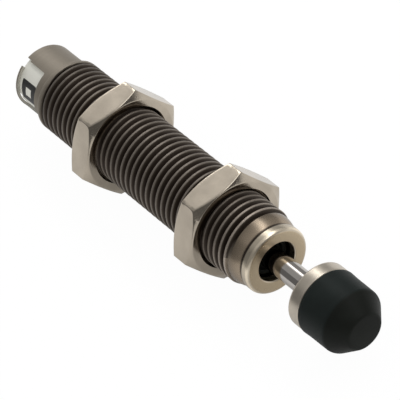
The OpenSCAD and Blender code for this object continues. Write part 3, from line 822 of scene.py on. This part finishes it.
def cut(piece, cutter_bm):
    """Takes a closed bmesh out of a piece."""
    cutter = linked_object(cutter_bm, "cutter")
    modifier = piece.modifiers.new("cut", "BOOLEAN")
    modifier.operation = "DIFFERENCE"
    modifier.object = cutter
    modifier.solver = "EXACT"
    graph = bpy.context.evaluated_depsgraph_get()
    result = bpy.data.meshes.new_from_object(piece.evaluated_get(graph))
    piece.modifiers.remove(modifier)
    piece.data = result
    bpy.data.objects.remove(cutter)
    result.shade_smooth()
    result.set_sharp_from_angle(angle=math.radians(SHARP))


class ABSORBER_OT_lock_nuts(bpy.types.Operator):
    """Two hexagon lock nuts with internal threads in step with the body's"""
    bl_idname = "absorber.lock_nuts"
    bl_label = "Lock nuts"

    def execute(self, context):
        scene = context.scene
        thread, finish = sizes(scene.absorber_thread), scene.absorber_finish
        material = nickel_material(finish.nickel, "nut_nickel", 0.14, 0.0)
        for name in ("rear_nut", "front_nut"):
            bm = nut_mesh(thread, *span(name))
            even_normals(as_piece(bm, name + "_threaded", name, [name], material))
        return {"FINISHED"}


def nut_mesh(thread, x0, x1, flat_r):
    """A hexagon nut: a turned double cone whose rim is drawn in to the hexagon."""
    chamfer = 0.2
    face_r = flat_r - chamfer
    sink_r = BODY[2] + 0.54
    slope = math.tan(math.radians(30))
    reach = NUT_CORNER + 1.0
    rows = 4
    outside = [(x0, sink_r), (x0, face_r), (x0 + chamfer, reach)]
    outside += [(x0 + (x1 - x0) * (i + 0.5) / rows, reach) for i in range(rows)]
    outside += [(x1 - chamfer, reach), (x1, face_r), (x1, sink_r)]
    bm = bmesh.new()
    spin(bm, outside)
    for v in bm.verts:
        r = math.hypot(v.co.y, v.co.z) / MM
        if r < reach - 0.1:
            continue
        angle = math.degrees(math.atan2(v.co.z, v.co.y)) % 60
        hexagon_r = flat_r / math.cos(math.radians(angle - 30))
        rise = (hexagon_r - face_r) * slope
        share = (v.co.x / MM - x0 - chamfer) / (x1 - x0 - 2 * chamfer)
        x = x0 + rise + share * (x1 - x0 - 2 * rise)
        v.co = Vector((x * MM, v.co.y * hexagon_r / r, v.co.z * hexagon_r / r))
    bore_r = BODY[2] - thread.depth + 0.12

    def over_sinks(x, r, turn):
        return max(r + thread.clearance, bore_r, sink_r - (x - x0), sink_r - (x1 - x))

    join_bmesh(bm, helical_band(thread, BODY[2], x0, x1, over_sinks))
    weld(bm)
    soften(bm, 0.09, 22.0, 2, lambda e: min(
        math.hypot(v.co.y, v.co.z) for v in e.verts) > (sink_r + 0.1) * MM)
    return bm


class ABSORBER_OT_collar(bpy.types.Operator):
    """Stop collar with its recess, and the wiper at the bottom of it"""
    bl_idname = "absorber.collar"
    bl_label = "Collar and wiper"

    def execute(self, context):
        finish = context.scene.absorber_finish
        x0, x1, outer_r = COLLAR
        recess_r = WIPER[2] + PLAY
        rod_r = ROD[2]
        flange_x = BODY[1]
        spigot_r = BEARING[2]
        front = sizes(context.scene.absorber_front)
        front_edge, rear_edge = front.collar_round, front.collar_edge
        profile = (
            [(x0, rod_r + 0.3), (WIPER[0], rod_r + 0.3), (WIPER[0], recess_r)]
            + [(x1 - 0.2, recess_r), (x1, recess_r + 0.2)]
            + arc(x1 - front_edge, outer_r - front_edge, front_edge, 0, 90)
            + arc(flange_x + rear_edge, outer_r - rear_edge, rear_edge, 90, 180)
            + [(flange_x, spigot_r), (x0, spigot_r)]
        )
        turned_piece(
            profile, "collar_ring", "body", ["stop_collar"],
            collar_material(finish, flange_x, x1), 0.04, 40.0)
        w0, w1, w_r = WIPER
        bore_r = rod_r + 0.04
        wiper = [
            (w0, bore_r + 0.3), (w0, w_r), (w1 - 0.2, w_r), (w1, w_r - 0.2),
            (w1 - 0.1, w_r - 0.9), (w1 - 0.6, bore_r + 0.7), (w1 - 0.05, bore_r + 0.12),
            (w1 - 0.05, bore_r), (w1 - 0.35, bore_r),
        ]
        turned_piece(
            wiper, "wiper_lip", "body", ["rod_wiper"],
            rubber_material(finish, "wiper_rubber", 0.5), 0.05, 20.0)
        return {"FINISHED"}


class ABSORBER_OT_rod(bpy.types.Operator):
    """Chromed rod and the holder on its end"""
    bl_idname = "absorber.rod"
    bl_label = "Rod and holder"

    def execute(self, context):
        finish = context.scene.absorber_finish
        x0, x1, rod_r = ROD
        h0, h1, h_r = HOLDER
        piston_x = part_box("piston")[1].x / MM
        rod = [
            (x0, 0.0), (x0, SPIGOT_R - 0.2), (x0 + 0.2, SPIGOT_R), (piston_x, SPIGOT_R),
            (piston_x, rod_r), (h0, rod_r), (h0, SPIGOT_R), (x1 - 0.2, SPIGOT_R),
            (x1, SPIGOT_R - 0.2), (x1, 0.0),
        ]
        turned_piece(
            rod, "rod_shaft", "rod", ["piston_rod"], chrome_material(finish), 0.03)
        disc_x = BUMPER[0] - PLAY
        front = sizes(context.scene.absorber_front)
        edge, chamfer = front.holder_round, front.holder_chamfer
        holder = (
            [(x1 + 0.1, 0.0), (x1 + 0.1, SPIGOT_R + PLAY), (h0, SPIGOT_R + PLAY)]
            + arc(h0 + edge, h_r - edge, edge, 180, 90)
            + [(disc_x - chamfer, h_r), (disc_x, h_r - chamfer), (disc_x, STEM_R), (x1, STEM_R)]
            + [(x1, HEAD_R), (h1 - 0.5, HEAD_R), (h1, HEAD_R - 0.5), (h1, 0.0)]
        )
        turned_piece(
            holder, "holder_disc", "rod", ["bumper_holder"],
            nickel_material(finish.holder, "holder_nickel", 0.34, 6.0), 0.03, 40.0)
        return {"FINISHED"}


class ABSORBER_OT_bumper(bpy.types.Operator):
    """Urethane bumper with its blunt cone"""
    bl_idname = "absorber.bumper"
    bl_label = "Bumper"

    def execute(self, context):
        finish = context.scene.absorber_finish
        front = sizes(context.scene.absorber_front)
        x0, tip_x, base_r = BUMPER
        outer_r = base_r - front.bumper_flare
        shoulder_x = tip_x - front.bumper_cone
        tip_r, edge = front.bumper_tip, front.bumper_edge
        stem_r, head_r = STEM_R + 2 * PLAY, HEAD_R + 2 * PLAY
        head_x, back_x = HOLDER[1] + 2 * PLAY, ROD[1] - 2 * PLAY
        profile = (
            [(x0, stem_r)] + arc(x0 + edge, base_r - edge, edge, 180, 90)
            + [(x0 + 1.1, outer_r + 0.6 * front.bumper_flare), (x0 + 1.8, outer_r)]
            + [(shoulder_x, outer_r - 0.05), (tip_x, tip_r), (tip_x, 0.0)]
            + [(head_x, 0.0), (head_x, head_r - 0.5), (head_x - 2 * PLAY - 0.5, head_r)]
            + [(back_x, head_r), (back_x, stem_r)]
        )
        bm = bmesh.new()
        spin(bm, profile, closed=True)
        weld(bm)
        soften(bm, 0.45, 24.0, 5, lambda e: min(v.co.x for v in e.verts) > (x0 + 2) * MM
               and math.hypot(*e.verts[0].co.yz) > (tip_r - 0.1) * MM)
        cap = as_piece(
            bm, "bumper_cap", "rod", ["bumper"],
            rubber_material(finish, "black_urethane", shoulder_x=shoulder_x), 50.0)
        even_normals(cap)
        return {"FINISHED"}


class ABSORBER_OT_dial(bpy.types.Operator):
    """Adjuster dial with its numerals, driver slot and screw"""
    bl_idname = "absorber.dial"
    bl_label = "Dial"

    def execute(self, context):
        scene = context.scene
        finish, scale = scene.absorber_finish, sizes(scene.absorber_dial)
        x0, x1, outer_r = DIAL
        seat_x, screw_r = SCREW[0] + 0.9, SCREW[2]
        counterbore_r, bore_r, socket_r, shank_r = 1.6, 0.79, 1.52, 0.75
        track = (2.95, 4.25)
        profile = [
            (x0, counterbore_r), (seat_x, counterbore_r), (seat_x, bore_r), (seat_x + 1, bore_r),
            (seat_x + 1, socket_r), (x1, socket_r), (x1, track[0]), (x1 - 0.3, track[0]),
            (x1 - 0.3, track[1]), (x1, track[1]), (x1, outer_r - 0.2), (x1 - 0.2, outer_r),
            (x0 + 0.25, outer_r), (x0, outer_r - 0.25),
        ]
        silver = silver_material(finish)
        dial = turned_piece(
            profile, "dial_band", "dial", ["adjuster_dial"], silver, 0.04)
        cut(dial, slot_cutter(x0 + 0.8, outer_r, 1.1))
        even_normals(dial)
        head = [
            (SCREW[0], 0.0), (SCREW[0], screw_r - 0.25), (SCREW[0] + 0.2, screw_r),
            (seat_x, screw_r), (seat_x, shank_r), (SCREW[1], shank_r), (SCREW[1], 0.0),
        ]
        screw = turned_piece(
            head, "dial_screw_head", "dial", ["dial_screw"],
            metal_material("screw_steel", (0.42, 0.42, 0.42), 0.3), 0.03)
        cut(screw, slot_cutter(SCREW[0] + 0.4, screw_r, 0.5, 90))
        even_normals(screw)
        ink = print_material()
        for i in range(scale.count):
            numeral(i, scale, (x0 + x1) / 2, outer_r, ink)
        return {"FINISHED"}


def slot_cutter(floor_x, reach, width, angle=0.0):
    """A straight bar across the axis, behind a slot's floor."""
    bm = bmesh.new()
    bmesh.ops.create_cube(bm, size=1.0)
    bmesh.ops.scale(bm, vec=(4 * MM, 2.2 * reach * MM, width * MM), verts=bm.verts)
    bmesh.ops.translate(bm, vec=((floor_x - 2) * MM, 0, 0), verts=bm.verts)
    bmesh.ops.rotate(
        bm, cent=(0, 0, 0), matrix=Matrix.Rotation(math.radians(angle), 3, "X"), verts=bm.verts)
    return bm


DIGITS = (
    ("###", "# #", "# #", "# #", "###"),
    ("## ", " # ", " # ", " # ", " # "),
    ("###", "  #", "###", "#  ", "###"),
    ("###", "  #", "###", "  #", "###"),
    ("# #", "# #", "###", "  #", "  #"),
)


def numeral(value, scale, middle_x, band_r, ink):
    """One printed numeral of square strokes, bent onto the dial's band."""
    side, middle = scale.stroke, scale.width - 2 * scale.stroke
    if value == 1:
        side, middle = 0.6 * scale.stroke, scale.stroke
    gap = (scale.height - 2 * scale.bar - scale.waist) / 2
    columns = running([side, middle, side])
    rows = running([scale.bar, gap, scale.waist, gap, scale.bar])
    bm = bmesh.new()
    bmesh.ops.create_grid(bm, x_segments=3, y_segments=5, size=0.5)
    blank = []
    for face in bm.faces:
        at = face.calc_center_median()
        if DIGITS[value][math.floor((0.5 - at.y) * 5)][math.floor((at.x + 0.5) * 3)] == " ":
            blank.append(face)
    bmesh.ops.delete(bm, geom=blank, context="FACES")
    for v in bm.verts:
        v.co.x = columns[round((v.co.x + 0.5) * 3)]
        v.co.y = rows[round((v.co.y + 0.5) * 5)]
    corners = [v for v in bm.verts if len(v.link_faces) == 1]
    bevel(bm, corners, scale.corner, 4, "VERTICES")
    raised = bmesh.ops.extrude_face_region(bm, geom=bm.faces[:])["geom"]
    bmesh.ops.translate(
        bm, vec=(0, 0, 0.05), verts=[v for v in raised if isinstance(v, bmesh.types.BMVert)])
    cuts, sunk = 16, 0.03
    for i in range(1, cuts):
        bmesh.ops.bisect_plane(
            bm, geom=bm.verts[:] + bm.edges[:] + bm.faces[:], dist=1e-4,
            plane_co=(0, scale.height * (i / cuts - 0.5), 0), plane_no=(0, 1, 0))
    centre = math.radians(scale.shown + value * scale.pitch)
    for v in bm.verts:
        a = centre - v.co.y / band_r
        r = band_r - sunk + v.co.z
        v.co = Vector(((middle_x + v.co.x) * MM, r * MM * math.cos(a), r * MM * math.sin(a)))
    bmesh.ops.recalc_face_normals(bm, faces=bm.faces)
    as_piece(bm, f"numeral_{value}", "dial", [], ink)


def running(widths):
    """Boundaries of a row of cells, centred on 0."""
    half = sum(widths) / 2
    return [sum(widths[:i]) - half for i in range(len(widths) + 1)]


class ABSORBER_OT_inner_parts(bpy.types.Operator):
    """Finishes of the pieces inside the body"""
    bl_idname = "absorber.inner_parts"
    bl_label = "Inner parts"

    def execute(self, context):
        finish = context.scene.absorber_finish
        steel = metal_material("turned_steel", (0.50, 0.51, 0.52), 0.32)
        bronze = metal_material("turned_bronze", (0.55, 0.38, 0.18), 0.34)
        wire = metal_material("spring_wire", (0.30, 0.31, 0.33), 0.36)
        black = rubber_material(finish, "seal_rubber_inner", 0.5)
        choices = {
            "rod_seal": black, "bearing_o_ring": black, "spindle_o_ring": black,
            "rod_bearing": bronze, "piston": bronze, "check_ring": bronze,
            "inner_tube": steel, "tube_seat": steel, "valve_spindle": steel,
            "detent_ball": steel, "return_spring": wire, "piston_clip": wire,
            "detent_spring": wire, "accumulator_foam": foam_material(),
        }
        for name, material in choices.items():
            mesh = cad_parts[name].data
            mesh.materials.clear()
            mesh.materials.append(material)
        return {"FINISHED"}


class ABSORBER_OT_stage(bpy.types.Operator):
    """Floor, world, lamps and camera"""
    bl_idname = "absorber.stage"
    bl_label = "Stage"

    def execute(self, context):
        scene = context.scene
        stage = sizes(scene.absorber_stage)
        scene.view_settings.view_transform = "Standard"
        set_world(scene)
        add_floor(CAD_BOUNDS[0].z - 0.02 * MM)
        add_card("card_above", 74, 126, 0.45)
        add_card("card_side", 126, 180, 0.19)
        add_card("card_far", 2, 44, 0.35)
        add_front_card("card_front", 0.65, 0.15)
        add_strip("strip", 57, stage.key)
        set_camera(scene, stage)
        return {"FINISHED"}


def add_card(name, first, last, grey):
    """A long bent card round the part that only reflections show."""
    bm = bmesh.new()
    distance, start = 0.5, math.radians(first)
    ends = [
        bm.verts.new((x, distance * math.cos(start), distance * math.sin(start)))
        for x in (-0.7, 0.8)]
    bmesh.ops.spin(
        bm, geom=[*ends, bm.edges.new(ends)], cent=(0, 0, 0), axis=(1, 0, 0),
        angle=math.radians(last) - start, steps=12, use_duplicate=False)
    show_card(bm, name, grey)


def add_front_card(name, distance, grey):
    """An upright card in front of the part that only reflections show."""
    bm = bmesh.new()
    height = 0.45
    bmesh.ops.create_grid(bm, x_segments=1, y_segments=1, size=0.5)
    bmesh.ops.scale(bm, vec=(height, 1.0, 1.0), verts=bm.verts)
    bmesh.ops.rotate(
        bm, cent=(0, 0, 0), matrix=Matrix.Rotation(math.radians(90), 3, "Y"), verts=bm.verts)
    bmesh.ops.translate(bm, vec=(distance, 0, height / 2), verts=bm.verts)
    show_card(bm, name, grey)


def show_card(bm, name, grey):
    """Makes a bmesh a stage card of an even grey, hidden but from reflections."""
    card = linked_object(bm, name)
    for kind in ("camera", "diffuse", "transmission", "volume_scatter", "shadow"):
        setattr(card, "visible_" + kind, False)
    material = plain_material(
        name, Base_Color=(0, 0, 0, 1), Specular_IOR_Level=0,
        Emission_Color=(1, 1, 1, 1), Emission_Strength=grey)[0]
    card.data.materials.append(material)


def add_strip(name, angle, radiance):
    """A long strip lamp parallel to the part, at an angle about the axis."""
    lamp = bpy.data.lights.new(name, "AREA")
    lamp.shape = "RECTANGLE"
    lamp.size, lamp.size_y = 1.2, 0.10
    distance = 0.4
    lamp.energy = radiance * math.pi * lamp.size * lamp.size_y
    a = math.radians(angle)
    away = Vector((0, math.cos(a), math.sin(a)))
    holder = bpy.data.objects.new(name, lamp)
    across = away.cross(Vector((1, 0, 0)))
    turn = Matrix((Vector((1, 0, 0)), across, away)).transposed()
    holder.matrix_world = Matrix.Translation(away * distance) @ turn.to_4x4()
    bpy.context.scene.collection.objects.link(holder)


def set_world(scene):
    """White seen by the camera, by gloss and by glass, and plain light for the rest."""
    world = bpy.data.worlds.new("studio")
    scene.world = world
    world.use_nodes = True
    tree = world.node_tree
    background = tree.nodes["Background"]
    path = node(tree, "ShaderNodeLightPath").outputs
    seen = math_node(tree, "MAXIMUM", path["Is Camera Ray"], path["Is Glossy Ray"])
    seen = math_node(tree, "MAXIMUM", seen, path["Is Transmission Ray"])
    tree.links.new(ramp(tree, seen, 0.0, 1.0, 0.6, 1.0), background.inputs["Strength"])
    background.inputs["Color"].default_value = (1, 1, 1, 1)


def add_floor(floor_z):
    """A pale floor under the part."""
    bm = bmesh.new()
    bmesh.ops.create_grid(bm, x_segments=2, y_segments=2, size=1.5)
    bmesh.ops.translate(bm, vec=(0, 0, floor_z), verts=bm.verts)
    floor = linked_object(bm, "floor")
    material, tree, shader = plain_material(
        "floor_white", Base_Color=(0.85, 0.85, 0.85, 1), Roughness=0.9)
    glow = node(tree, "ShaderNodeEmission", [("Color", (1, 1, 1, 1)), ("Strength", 1.02)])
    path = node(tree, "ShaderNodeLightPath").outputs
    clear = math_node(tree, "MULTIPLY", path["Is Camera Ray"], 0.95)
    polished = math_node(tree, "MAXIMUM", path["Is Glossy Ray"], path["Is Transmission Ray"])
    place = node(tree, "ShaderNodeTexCoord").outputs["Object"]
    across = node(tree, "ShaderNodeSeparateXYZ", [(0, place)]).outputs[1]
    # Painted shadow and light: polished faces see the floor's glow dim close in front of the part, as
    # its shadow, and bright behind it.
    shaded = ramp(tree, across, -0.04, -0.012, 0.55, 0.26)
    sheen = math_node(tree, "ADD", shaded, ramp(tree, across, 0.005, 0.014, 0.0, 0.52))
    share = math_node(tree, "MAXIMUM", clear, math_node(tree, "MULTIPLY", polished, sheen))
    mixed = node(tree, "ShaderNodeMixShader", [
        (0, share), (1, shader.outputs[0]), (2, glow.outputs[0])])
    tree.links.new(mixed.outputs[0], tree.nodes["Material Output"].inputs["Surface"])
    floor.data.materials.append(material)


def set_camera(scene, stage):
    """The camera, placed by azimuth, elevation and roll round a point of the axis."""
    azimuth, elevation = math.radians(stage.azimuth), math.radians(stage.elevation)
    away = Vector((
        math.cos(elevation) * math.sin(azimuth),
        -math.cos(elevation) * math.cos(azimuth),
        math.sin(elevation)))
    target = Vector((stage.target * MM, 0, 0))
    camera = bpy.data.cameras.new("camera")
    camera.lens = stage.lens
    camera.sensor_width = 36.0
    camera.clip_start = 0.01
    camera.clip_end = 10.0
    holder = bpy.data.objects.new("camera", camera)
    turn = (-away).to_track_quat("-Z", "Y").to_matrix()
    turn = turn @ Matrix.Rotation(math.radians(stage.roll), 3, "Z")
    holder.matrix_world = Matrix.Translation(
        target + away * stage.distance * MM) @ turn.to_4x4()
    scene.collection.objects.link(holder)
    scene.camera = holder


class ABSORBER_PT_sidebar(bpy.types.Panel):
    """Lists the absorber's operators and settings."""
    bl_label = "Shock Absorber"
    bl_idname = "ABSORBER_PT_sidebar"
    bl_space_type = "VIEW_3D"
    bl_region_type = "UI"
    bl_category = "Absorber"

    def draw(self, context):
        for operator in OPERATORS:
            self.layout.operator(operator.bl_idname)
        for name in SETTINGS:
            box = self.layout.box()
            settings = getattr(context.scene, name)
            for key in settings.__annotations__:
                box.prop(settings, key)


SETTINGS = {
    "absorber_thread": ThreadSettings, "absorber_sleeve": SleeveSettings,
    "absorber_front": FrontSettings, "absorber_dial": DialSettings,
    "absorber_finish": FinishSettings, "absorber_stage": StageSettings,
}
OPERATORS = [
    ABSORBER_OT_stage, ABSORBER_OT_body_shell, ABSORBER_OT_lock_nuts, ABSORBER_OT_collar,
    ABSORBER_OT_rod, ABSORBER_OT_bumper, ABSORBER_OT_dial, ABSORBER_OT_inner_parts,
]


def register():
    for item in [*SETTINGS.values(), *OPERATORS, ABSORBER_PT_sidebar]:
        bpy.utils.register_class(item)
    for name, kind in SETTINGS.items():
        setattr(bpy.types.Scene, name, PointerProperty(type=kind))


def unregister():
    for name in SETTINGS:
        delattr(bpy.types.Scene, name)
    for item in [ABSORBER_PT_sidebar, *reversed(OPERATORS), *reversed(SETTINGS.values())]:
        bpy.utils.unregister_class(item)


def main():
    """Builds everything."""
    register()
    for operator in OPERATORS:
        group, name = operator.bl_idname.split(".")
        getattr(getattr(bpy.ops, group), name)()


if __name__ == "__main__":
    main()
